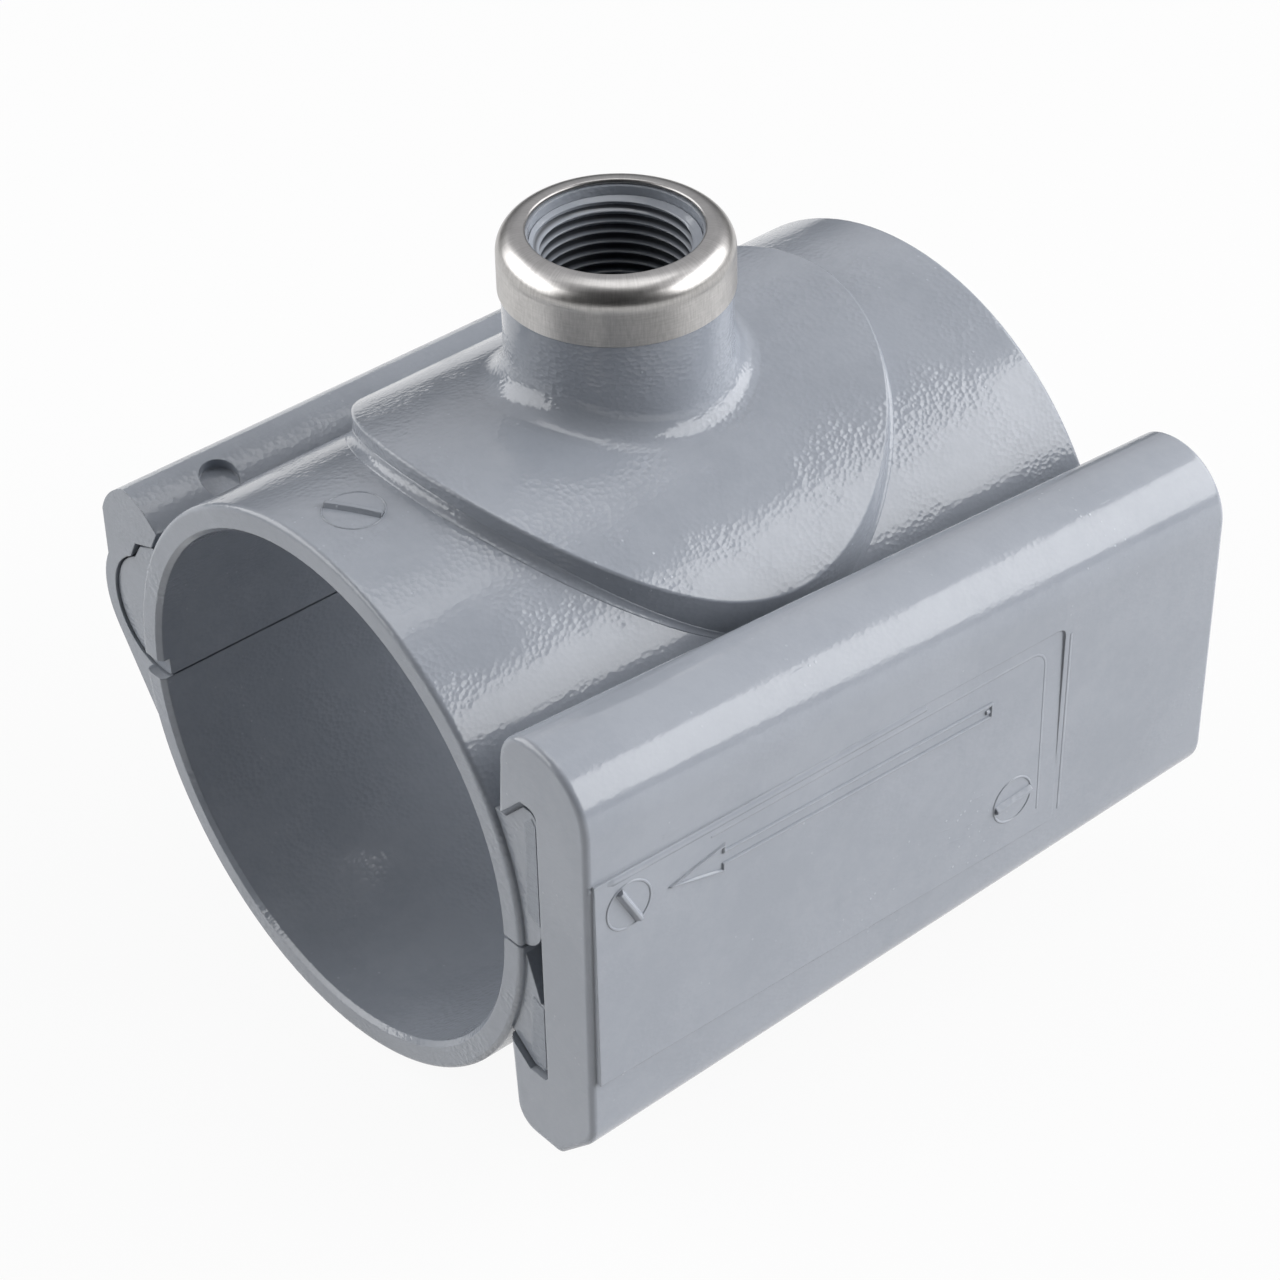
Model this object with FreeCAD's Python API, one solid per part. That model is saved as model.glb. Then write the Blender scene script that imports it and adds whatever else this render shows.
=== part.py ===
"""Tapping saddle for plastic pipe, in millimetres.

Two half shells close round a pipe. Along the rear they hook together on a rail.
Along the front a tapered channel, the locking wedge, slides over a pair of flanges
and draws them together. The upper half carries a threaded outlet with a pressed
metal ring, and an oval seal in a groove round the tap hole.

X runs along the pipe, Y from the wedge to the rear rail, Z up through the outlet.
The origin is on the pipe's axis, below the outlet.
"""
import FreeCAD
import Part
import math
import os

# Pipe and shells
pipe_diameter = 88.9
pipe_clearance = 0.10
shell_wall = 4.75
body_length = 126.8
shell_edge_radius = 0.9
bore_lead_in = 0.8

# Parting between the halves on the wedge side
parting_height = -0.1
parting_gap = 0.5
parting_bevel_drop = 3.6

# Pad and outlet neck
pad_radius = 42.75
pad_rise = 4.1
pad_edge_radius = 0.5
neck_radius = 18.2
neck_base_radius = 5.2
outlet_height = 77.9

# Outlet bore, from the top down
mouth_radius = 13.6
mouth_depth = 2.0
thread_root_radius = 13.0
thread_length = 21.0
tap_hole_radius = 10.8

# Pressed ring over the top of the neck
ring_thickness = 0.9
ring_radius = 18.75
ring_height = 10.4
ring_shoulder_radius = 4.0
ring_opening_radius = 13.95
ring_clearance = 0.05

# Seal and its groove
seal_path_radius = 17.0
seal_thickness = 3.0
seal_edge_radius = 1.3
seal_clearance = 0.3
seal_bore_setback = 0.05

# Flanges at the tall end of the wedge, measured out from the axis and up or down
flange_reach = 53.2
flange_end_inset = 1.0
upper_grip_height = 27.6
upper_grip_rise = 4.3
upper_root_reach = 46.0
upper_corner_radius = 4.9
lower_grip_depth = 24.0
lower_grip_rise = 3.8
lower_root_reach = 45.4
parting_reach = 48.8
lower_bevel_depth = 9.6
bevel_ledge = 0.9
ridge_inset = 3.0
ridge_round = 1.5

# Wedge, at its tall end
wedge_length = 133.8
wedge_wall = 11.1
wedge_face_lean = 0.65
upper_lip_thickness = 14.2
lower_lip_thickness = 14.2
upper_taper_angle = 3.15
lower_taper_angle = 2.1
outward_drift = 0.0154
crown_radius = 11.4
crown_blend_angle = 105.0
keel_chamfer = 8.3
keel_face_radius = 7.0
keel_tip_radius = 1.8
keel_blend_radius = 4.5
wedge_end_radius = 1.0

# Channel in the wedge
floor_clearance = 1.2
upper_clearance = 1.3
lower_clearance = 0.4
lip_bite = 7.9
lip_draft = 0.8
channel_top_radius = 1.7
channel_corner = 0.8

# Raised and sunk panel on the wedge's outer face
panel_proud = 0.46
panel_sink = 0.45
panel_length = 97.7
panel_top = 22.0
panel_bottom = -17.5
panel_slope_drop = 2.0
panel_corner_radius = 1.5

# Rear rail: a bead on the upper half inside a hook on the lower half
rail_axis_out = 46.8
rail_axis_up = 7.5
hook_socket_radius = 11.2
hook_wall = 2.8
hook_back_reach = 59.0
hook_back_height = 23.6
hook_crest_reach = 51.8
hook_crest_height = 30.8
hook_crest_bulge = 1.1
hook_nose_gap = 1.3
hook_nose_top = 26.3
hook_nose_bulge = 0.9
hook_nose_height = 22.7
hook_end_inset = 1.4
hook_root_angle = -35.0
bead_clearance = 0.3
bead_end_inset = 0.5
finger_gap = 0.6
finger_reach = 49.5
finger_tip_drop = 1.7

# Round moulding mark in the slope of the hook's nose
mark_station = -46.8
mark_up_the_slope = 0.40
mark_radius = 3.4
mark_depth = 1.3
mark_tilt = 13.0

# Values that follow from those above
bore_radius = pipe_diameter / 2 + pipe_clearance
shell_radius = bore_radius + shell_wall
pad_surface_radius = shell_radius + pad_rise
half_length = body_length / 2
wedge_start = -half_length
wedge_end = wedge_start + wedge_length
upper_parting = parting_height + parting_gap / 2
lower_parting = parting_height - parting_gap / 2
ring_base = outlet_height - ring_height
neck_top = outlet_height - ring_thickness - ring_clearance
thread_bottom = neck_top - mouth_depth - thread_length
seal_low_radius = bore_radius + seal_bore_setback
channel_reach = flange_reach + floor_clearance
mouth_reach = flange_reach - lip_bite
wedge_reach = channel_reach + wedge_wall
wedge_top_height = upper_grip_height + upper_lip_thickness
wedge_bottom_depth = lower_grip_depth + lower_lip_thickness
hook_outer_radius = hook_socket_radius + hook_wall
bead_radius = hook_socket_radius - bead_clearance


def front(station, reach, height):
    """A point on the wedge side, at a distance out from the pipe's axis."""
    return FreeCAD.Vector(station, -reach, height)


def rear(station, reach, height):
    """A point on the rail side, at a distance out from the pipe's axis."""
    return FreeCAD.Vector(station, reach, height)


def outline(start, moves):
    """A closed wire: a move is one point for a line, or two for an arc through the first."""
    edges = []
    here = start
    for move in moves + [[start]]:
        if len(move) == 2:
            edges.append(Part.Arc(here, move[0], move[1]).toShape())
        elif here.distanceToPoint(move[0]) > 1e-6:
            edges.append(Part.LineSegment(here, move[0]).toShape())
        here = move[-1]
    return Part.Wire(edges)


def between(first_wire, last_wire):
    """The solid between two like outlines."""
    return Part.makeLoft([first_wire, last_wire], True, True)


def along_pipe(radius, start, end):
    """A round bar on the pipe's axis, its seam line turned to the underside."""
    bar = Part.makeCylinder(radius, end - start, FreeCAD.Vector(start, 0, 0), FreeCAD.Vector(1, 0, 0))
    bar.rotate(FreeCAD.Vector(0, 0, 0), FreeCAD.Vector(1, 0, 0), 180)
    return bar


def upright(radius, bottom, top):
    """A round bar on the outlet's axis."""
    return Part.makeCylinder(radius, top - bottom, FreeCAD.Vector(0, 0, bottom))


def block(x_range, y_range, z_range):
    """A box between the given limits."""
    corner = FreeCAD.Vector(x_range[0], y_range[0], z_range[0])
    return Part.makeBox(x_range[1] - x_range[0], y_range[1] - y_range[0], z_range[1] - z_range[0], corner)


def turned(section, centre, axis):
    """A closed outline turned once round an axis."""
    return Part.Face(section).revolve(centre, axis, 360)


def one_solid(shape):
    """The single solid of a finished shape, with split faces joined again."""
    return shape.removeSplitter().Solids[0]


def upper_drop(station):
    """How far the upper side of the wedge has come down at a station."""
    return (station - wedge_start) * math.tan(math.radians(upper_taper_angle))


def lower_lift(station):
    """How far the lower side of the wedge has come up at a station."""
    return (station - wedge_start) * math.tan(math.radians(lower_taper_angle))


def drift(station):
    """How far the wedge's outer face and lips stand further out at a station."""
    return (station - wedge_start) * outward_drift


def shell_tube():
    """The whole tube before it is parted, with rounded outer end edges and a lead-in."""
    edge = shell_edge_radius
    cut = bore_lead_in
    corner = edge * (1 - math.sqrt(0.5))
    left = -half_length
    right = half_length
    section = outline(
        FreeCAD.Vector(left, 0, bore_radius + cut),
        [
            [FreeCAD.Vector(left, 0, shell_radius - edge)],
            [FreeCAD.Vector(left + corner, 0, shell_radius - corner), FreeCAD.Vector(left + edge, 0, shell_radius)],
            [FreeCAD.Vector(right - edge, 0, shell_radius)],
            [FreeCAD.Vector(right - corner, 0, shell_radius - corner), FreeCAD.Vector(right, 0, shell_radius - edge)],
            [FreeCAD.Vector(right, 0, bore_radius + cut)],
            [FreeCAD.Vector(right - cut, 0, bore_radius)],
            [FreeCAD.Vector(left + cut, 0, bore_radius)],
        ],
    )
    return turned(section, FreeCAD.Vector(0, 0, 0), FreeCAD.Vector(1, 0, 0))


def bore_cutter():
    """Everything inside the pipe bore, with the lead-in at both ends."""
    cone_height = bore_lead_in + 1.0
    wide = bore_radius + cone_height
    right_cone = Part.makeCone(
        bore_radius, wide, cone_height,
        FreeCAD.Vector(half_length - bore_lead_in, 0, 0), FreeCAD.Vector(1, 0, 0))
    left_cone = Part.makeCone(
        bore_radius, wide, cone_height,
        FreeCAD.Vector(bore_lead_in - half_length, 0, 0), FreeCAD.Vector(-1, 0, 0))
    return along_pipe(bore_radius, wedge_start - 5, wedge_end + 5).fuse([right_cone, left_cone])


def upper_flange_outline(station):
    """Upper flange: a rounded ridge at the top outer edge, a round lower corner."""
    peak = upper_grip_height - upper_drop(station)
    dip = peak - upper_grip_rise
    face = flange_reach
    ridge = face - ridge_inset
    root = bore_radius - shell_wall
    corner = upper_corner_radius * (1 - math.sqrt(0.5))
    crest = ridge_round * (1 - math.sqrt(0.5))
    return outline(
        front(station, root, upper_parting),
        [
            [front(station, face - upper_corner_radius, upper_parting)],
            [front(station, face - corner, upper_parting + corner),
             front(station, face, upper_parting + upper_corner_radius)],
            [front(station, face, peak - ridge_round)],
            [front(station, face - crest, peak - crest), front(station, face - ridge_round, peak)],
            [front(station, ridge, peak)],
            [front(station, upper_root_reach, dip)],
            [front(station, root, dip)],
        ],
    )


def lower_flange_outline(station):
    """Lower flange: a long bevel above, a sloping dovetail foot below."""
    foot = -lower_grip_depth + lower_lift(station)
    face = flange_reach
    ridge = face - ridge_inset
    root = bore_radius - shell_wall
    return outline(
        front(station, root, lower_parting - parting_bevel_drop),
        [
            [front(station, bore_radius - shell_wall / 2, lower_parting - parting_bevel_drop)],
            [front(station, parting_reach, lower_parting)],
            [front(station, face - bevel_ledge, lower_parting - lower_bevel_depth)],
            [front(station, face, lower_parting - lower_bevel_depth)],
            [front(station, face, foot + channel_corner)],
            [front(station, face - channel_corner, foot)],
            [front(station, ridge, foot)],
            [front(station, lower_root_reach, foot + lower_grip_rise)],
            [front(station, root, foot + lower_grip_rise)],
        ],
    )


def flange(section_at):
    """A flange between the two ends of the body."""
    left = flange_end_inset - half_length
    right = half_length - flange_end_inset
    return between(section_at(left), section_at(right))


def blend_radius(side, centre, radius, degrees):
    """Radius of the arc that runs from an upright side tangent into a bigger arc."""
    lean = math.cos(math.radians(degrees))
    return (centre + radius * lean - side) / (1 + lean)


def wedge_outline(station):
    """The wedge's section: a deep C with a crown above, a bevelled keel below and two lips."""
    out = drift(station)
    back = wedge_reach + out
    mouth = mouth_reach + out
    side = mouth + lip_draft

    crown_y = back - crown_radius
    crown_z = wedge_top_height - upper_drop(station) - crown_radius
    blend = blend_radius(side, crown_y, crown_radius, crown_blend_angle)
    blend_y = side + blend
    blend_z = crown_z + (crown_radius - blend) * math.sin(math.radians(crown_blend_angle))

    bottom = -wedge_bottom_depth + lower_lift(station)
    face = back - wedge_face_lean
    bevel_tangent = math.tan(math.radians(22.5))
    face_y = face - keel_face_radius
    face_z = bottom + keel_chamfer + keel_face_radius * bevel_tangent
    tip_y = face - keel_chamfer - keel_tip_radius * bevel_tangent
    tip_z = bottom + keel_tip_radius

    upper_slope = upper_grip_rise / (flange_reach - ridge_inset - upper_root_reach)
    lower_slope = lower_grip_rise / (flange_reach - ridge_inset - lower_root_reach)
    floor = channel_reach
    peak = upper_grip_height - upper_drop(station)
    apex = floor - ridge_inset - floor_clearance / 2
    upper_lip = peak - upper_grip_rise + upper_clearance - (upper_root_reach - mouth) * upper_slope
    upper_apex = upper_lip + (apex - mouth) * upper_slope
    foot = -lower_grip_depth + lower_lift(station) - lower_clearance
    lower_lip = foot + (flange_reach - ridge_inset - mouth) * lower_slope

    def around(centre_y, centre_z, radius, degrees):
        angle = math.radians(degrees)
        return front(station, centre_y + radius * math.cos(angle), centre_z + radius * math.sin(angle))

    return outline(
        front(station, mouth, upper_lip),
        [
            [front(station, side, blend_z)],
            [around(blend_y, blend_z, blend, (180 + crown_blend_angle) / 2),
             around(crown_y, crown_z, crown_radius, crown_blend_angle)],
            [around(crown_y, crown_z, crown_radius, crown_blend_angle / 2),
             front(station, back, crown_z)],
            [front(station, face, face_z)],
            [around(face_y, face_z, keel_face_radius, -22.5),
             around(face_y, face_z, keel_face_radius, -45)],
            [around(tip_y, tip_z, keel_tip_radius, -45)],
            [around(tip_y, tip_z, keel_tip_radius, -67.5), front(station, tip_y, bottom)],
            [front(station, side + keel_blend_radius, bottom)],
            [around(side + keel_blend_radius, bottom + keel_blend_radius, keel_blend_radius, -135),
             front(station, side, bottom + keel_blend_radius)],
            [front(station, mouth, lower_lip)],
            [front(station, flange_reach - ridge_inset, foot)],
            [front(station, floor - channel_corner, foot)],
            [front(station, floor, foot + channel_corner)],
            [front(station, floor, upper_apex - channel_top_radius)],
            [around(floor - channel_top_radius, upper_apex - channel_top_radius, channel_top_radius, 45),
             front(station, floor - channel_top_radius, upper_apex)],
            [front(station, apex, upper_apex)],
        ],
    )


def panel_slab(setback, thickness):
    """A slab over the panel's area, from a setback behind its surface outwards."""
    start = wedge_start + wedge_end_radius
    end = wedge_start + panel_length
    near_reach = wedge_reach + panel_proud - setback
    far_reach = wedge_reach + drift(end) - panel_sink - setback
    face = outline(
        front(start, near_reach, panel_bottom),
        [
            [front(end, far_reach, panel_bottom - panel_slope_drop)],
            [front(end, far_reach, panel_top - panel_slope_drop)],
            [front(start, near_reach, panel_top)],
        ],
    )
    slab = Part.Face(face).extrude(FreeCAD.Vector(0, -thickness, 0))
    far_corners = []
    for edge in slab.Edges:
        box = edge.BoundBox
        if box.YLength > 0.1 and box.XMin > end - 0.1:
            far_corners.append(edge)
    return slab.makeFillet(panel_corner_radius, far_corners)


def rounded_ends(body):
    """The wedge with its outer edges rounded at both ends."""
    edges = []
    for edge in body.Edges:
        box = edge.BoundBox
        at_end = box.XLength < 0.01 and min(abs(box.XMin - wedge_start), abs(box.XMin - wedge_end)) < 0.01
        in_channel = -box.YMin < channel_reach + 0.01 and box.ZMax < wedge_top_height - crown_radius \
            and box.ZMin > keel_blend_radius - wedge_bottom_depth
        if at_end and not in_channel:
            edges.append(edge)
    return body.makeFillet(wedge_end_radius, edges)


def locking_wedge():
    """The tapered channel with its panel, proud at one end and sunk at the other."""
    body = rounded_ends(between(wedge_outline(wedge_start), wedge_outline(wedge_end)))
    proud = panel_slab(wedge_wall / 2, wedge_wall / 2)
    sunk = panel_slab(0, wedge_wall / 2)
    return one_solid(body.fuse(proud).cut(sunk))


def pad():
    """The raised pad: round in plan, curved like the shell."""
    bar = along_pipe(pad_surface_radius, -pad_radius * 1.2, pad_radius * 1.2)
    plug = upright(pad_radius, 0, outlet_height)
    blank = bar.common(plug)
    rim = [edge for edge in blank.Edges if edge.BoundBox.ZLength > 1 and edge.BoundBox.ZMin > 1]
    return blank.makeFillet(pad_edge_radius, rim)


def neck():
    """The neck, stepped in under the ring, with the pad's curve faired into its base."""
    rebate = ring_radius - ring_thickness - ring_clearance
    shoulder = ring_shoulder_radius - ring_thickness
    diagonal = shoulder * (1 - math.sqrt(0.5))
    section = outline(
        FreeCAD.Vector(0, 0, bore_radius),
        [
            [FreeCAD.Vector(neck_radius, 0, bore_radius)],
            [FreeCAD.Vector(neck_radius, 0, ring_base - ring_clearance)],
            [FreeCAD.Vector(rebate, 0, ring_base - ring_clearance)],
            [FreeCAD.Vector(rebate, 0, neck_top - shoulder)],
            [FreeCAD.Vector(rebate - diagonal, 0, neck_top - diagonal),
             FreeCAD.Vector(rebate - shoulder, 0, neck_top)],
            [FreeCAD.Vector(0, 0, neck_top)],
        ],
    )
    return turned(section, FreeCAD.Vector(0, 0, 0), FreeCAD.Vector(0, 0, 1))


def padded_neck():
    """Pad and neck together, with the fillet between them."""
    joined = pad().fuse(neck())
    base = []
    for edge in joined.Edges:
        box = edge.BoundBox
        on_neck = abs(box.XMax - neck_radius) < 0.01 and abs(box.YMax - neck_radius) < 0.5
        if on_neck and pad_surface_radius - 6 < box.ZMin and box.ZMax < pad_surface_radius + 1:
            base.append(edge)
    return joined.makeFillet(neck_base_radius, base)


def rail_point(station, radius, degrees):
    """A point on a circle about the rail's axis; 0 is straight out, 90 straight up."""
    angle = math.radians(degrees)
    return rear(station, rail_axis_out + radius * math.cos(angle), rail_axis_up + radius * math.sin(angle))


def bead():
    """The upper half's bead, with a finger that lies under the hook's nose."""
    left = hook_end_inset + bead_end_inset - half_length
    right = -left
    centre = FreeCAD.Vector(left, rail_axis_out, rail_axis_up)
    bar = Part.makeCylinder(bead_radius, right - left, centre, FreeCAD.Vector(1, 0, 0))
    finger_top = hook_nose_height - finger_gap
    finger = outline(
        rear(left, bore_radius - shell_wall, finger_top),
        [
            [rear(left, rail_axis_out - 1.2, finger_top)],
            [rear(left, finger_reach, finger_top - finger_tip_drop)],
            [rail_point(left, bead_radius - 0.5, 60)],
            [rear(left, bore_radius - shell_wall, rail_axis_up)],
        ],
    )
    return bar.fuse(Part.Face(finger).extrude(FreeCAD.Vector(right - left, 0, 0)))


def bulged(start, end, bulge):
    """The two points of a shallow arc that stands out from the line between two points."""
    chord = end - start
    outward = FreeCAD.Vector(0, chord.z, -chord.y).normalize()
    if outward.z < 0:
        outward = -outward
    return [(start + end) * 0.5 + outward * bulge, end]


def nose_point(station, height):
    """A point on the face of the nose that lies close along the shell."""
    return rear(station, math.sqrt((shell_radius + hook_nose_gap) ** 2 - height ** 2), height)


def hook():
    """The lower half's hook: a lobe that wraps over the bead and points back at the shell."""
    left = hook_end_inset - half_length
    right = -left
    root = math.radians(hook_root_angle)
    root_y = shell_radius * math.cos(root)
    root_z = shell_radius * math.sin(root)
    span = math.hypot(rail_axis_out - root_y, rail_axis_up - root_z)
    lean = math.atan2(rail_axis_up - root_z, rail_axis_out - root_y)
    tangent = math.degrees(lean - math.asin(hook_outer_radius / span)) - 90
    back_angle = math.degrees(math.acos((hook_back_reach - rail_axis_out) / hook_outer_radius))
    back_top = rear(left, hook_back_reach, hook_back_height)
    crest = rear(left, hook_crest_reach, hook_crest_height)
    section = outline(
        rear(left, bore_radius - shell_wall, root_z),
        [
            [rear(left, root_y, root_z)],
            [rail_point(left, hook_outer_radius, tangent)],
            [rail_point(left, hook_outer_radius, (tangent + back_angle) / 2),
             rail_point(left, hook_outer_radius, back_angle)],
            [back_top],
            bulged(back_top, crest, hook_crest_bulge),
            bulged(crest, nose_point(left, hook_nose_top), hook_nose_bulge),
            [nose_point(left, hook_nose_height)],
            [rear(left, finger_reach + finger_gap, hook_nose_height - finger_tip_drop)],
            [rail_point(left, hook_socket_radius, 62)],
            [rail_point(left, hook_socket_radius, -20), rail_point(left, hook_socket_radius, -102)],
            [rear(left, bore_radius - shell_wall, rail_axis_up - hook_socket_radius)],
        ],
    )
    lobe = Part.Face(section).extrude(FreeCAD.Vector(right - left, 0, 0))
    return lobe.cut(round_mark())


def round_mark():
    """The shallow round sink in the slope of the hook's nose."""
    crest = rear(mark_station, hook_crest_reach, hook_crest_height)
    nose = nose_point(mark_station, hook_nose_top)
    middle = nose + (crest - nose) * mark_up_the_slope
    tilt = math.radians(mark_tilt)
    axis = FreeCAD.Vector(0, -math.sin(tilt), math.cos(tilt))
    return Part.makeCylinder(mark_radius, 4 * mark_depth, middle - axis * (mark_depth - hook_nose_bulge), axis)


def outlet_bore():
    """Mouth, thread bore and tap hole down the outlet's axis."""
    mouth = upright(mouth_radius, neck_top - mouth_depth, outlet_height)
    thread = upright(thread_root_radius, thread_bottom, outlet_height)
    tap = upright(tap_hole_radius, 0, outlet_height)
    return mouth.fuse([thread, tap])


def curved_band(half_width, low_radius, high_radius):
    """A band round the outlet's axis, between two distances from the pipe's axis."""
    hoop = upright(seal_path_radius + half_width, 0, outlet_height)
    hoop = hoop.cut(upright(seal_path_radius - half_width, 0, outlet_height))
    layer = along_pipe(high_radius, -half_length, half_length)
    return hoop.common(layer.cut(along_pipe(low_radius, -half_length, half_length)))


def seal_groove():
    """The groove round the tap hole, equally deep from the pipe all the way round."""
    half_width = seal_thickness / 2 + seal_clearance
    return curved_band(half_width, bore_radius - 1, seal_low_radius + seal_thickness + seal_clearance)


def seal_ring():
    """The cord seal, bent to the pipe's curve and pressed flush with the bore."""
    band = curved_band(seal_thickness / 2, seal_low_radius, seal_low_radius + seal_thickness)
    hoops = [edge for edge in band.Edges if edge.BoundBox.XLength > seal_path_radius]
    return one_solid(band.makeFillet(seal_edge_radius, hoops))


def outlet_ring():
    """The pressed ring: a skirt round the neck, turned in over its top."""
    outer = ring_radius
    inner = ring_radius - ring_thickness
    top = outlet_height
    under = outlet_height - ring_thickness
    big = ring_shoulder_radius
    small = ring_shoulder_radius - ring_thickness
    diagonal = 1 - math.sqrt(0.5)
    lip = ring_thickness / 2
    section = outline(
        FreeCAD.Vector(inner, 0, ring_base),
        [
            [FreeCAD.Vector(outer - 0.2, 0, ring_base)],
            [FreeCAD.Vector(outer, 0, ring_base + 0.2)],
            [FreeCAD.Vector(outer, 0, top - big)],
            [FreeCAD.Vector(outer - big * diagonal, 0, top - big * diagonal), FreeCAD.Vector(outer - big, 0, top)],
            [FreeCAD.Vector(ring_opening_radius + lip, 0, top)],
            [FreeCAD.Vector(ring_opening_radius, 0, top - lip),
             FreeCAD.Vector(ring_opening_radius + lip, 0, under)],
            [FreeCAD.Vector(outer - big, 0, under)],
            [FreeCAD.Vector(inner - small * diagonal, 0, under - small * diagonal),
             FreeCAD.Vector(inner, 0, under - small)],
        ],
    )
    return turned(section, FreeCAD.Vector(0, 0, 0), FreeCAD.Vector(0, 0, 1))


def upper_saddle():
    """Upper half: shell, pad, neck, front flange and rear bead in one moulding."""
    width = 2 * shell_radius
    above = block((-half_length - 1, half_length + 1), (-width, width), (upper_parting, 2 * width))
    half_shell = shell_tube().common(above)
    solid = half_shell.fuse([flange(upper_flange_outline), bead(), padded_neck()])
    return one_solid(solid.cut([bore_cutter(), outlet_bore(), seal_groove()]))


def lower_saddle():
    """Lower half: shell, front flange and rear hook in one moulding."""
    width = 2 * shell_radius
    below = block((-half_length - 1, half_length + 1), (-width, width), (-2 * width, lower_parting))
    socket_start = FreeCAD.Vector(-half_length - 1, rail_axis_out, rail_axis_up)
    socket = Part.makeCylinder(hook_socket_radius, body_length + 2, socket_start, FreeCAD.Vector(1, 0, 0))
    bevel = outline(
        front(-half_length - 1, upper_root_reach, lower_parting),
        [
            [front(-half_length - 1, bore_radius - shell_wall, lower_parting)],
            [front(-half_length - 1, bore_radius - shell_wall, lower_parting - parting_bevel_drop)],
        ],
    )
    bevel_cut = Part.Face(bevel).extrude(FreeCAD.Vector(body_length + 2, 0, 0))
    half_shell = shell_tube().common(below).cut([socket, bevel_cut])
    solid = half_shell.fuse([flange(lower_flange_outline), hook()])
    return one_solid(solid.cut(bore_cutter()))


os.makedirs("parts", exist_ok=True)
upper_saddle().exportStep("parts/upper_saddle.step")
lower_saddle().exportStep("parts/lower_saddle.step")
locking_wedge().exportStep("parts/locking_wedge.step")
outlet_ring().exportStep("parts/outlet_ring.step")
seal_ring().exportStep("parts/seal_ring.step")
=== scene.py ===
"""Looks of the tapping saddle: materials, thread, moulded relief, light, floor and camera."""
import math

import bmesh
import bpy
from mathutils import Matrix, Vector


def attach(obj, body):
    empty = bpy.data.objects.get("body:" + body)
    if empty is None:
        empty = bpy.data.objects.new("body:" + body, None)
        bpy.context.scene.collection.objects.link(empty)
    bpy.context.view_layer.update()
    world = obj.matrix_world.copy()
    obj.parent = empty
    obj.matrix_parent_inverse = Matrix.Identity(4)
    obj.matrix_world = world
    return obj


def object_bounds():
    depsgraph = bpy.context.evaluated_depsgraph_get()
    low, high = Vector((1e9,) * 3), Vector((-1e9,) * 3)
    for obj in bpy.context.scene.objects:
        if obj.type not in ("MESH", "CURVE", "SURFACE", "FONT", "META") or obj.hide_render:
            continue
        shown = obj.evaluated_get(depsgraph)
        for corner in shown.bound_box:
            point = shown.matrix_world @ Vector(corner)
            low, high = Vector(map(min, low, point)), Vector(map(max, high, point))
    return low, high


MM = 0.001

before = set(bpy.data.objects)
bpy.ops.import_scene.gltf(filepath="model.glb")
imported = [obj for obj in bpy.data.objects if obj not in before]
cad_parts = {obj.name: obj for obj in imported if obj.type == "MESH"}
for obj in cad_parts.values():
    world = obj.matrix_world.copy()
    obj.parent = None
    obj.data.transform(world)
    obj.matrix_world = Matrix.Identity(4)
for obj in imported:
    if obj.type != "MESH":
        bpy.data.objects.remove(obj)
cad_low, cad_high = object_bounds()

# The outlet's thread, in millimetres. It narrows downward.
THREAD_PITCH = 25.4 / 14
THREAD_TOP = 75.4
THREAD_BOTTOM = 54.2
THREAD_PHASE = 0.43
THREAD_DEPTH = 1.25
CREST_RADIUS = 11.92
TAPER = 1 / 32


# Nodes

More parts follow.
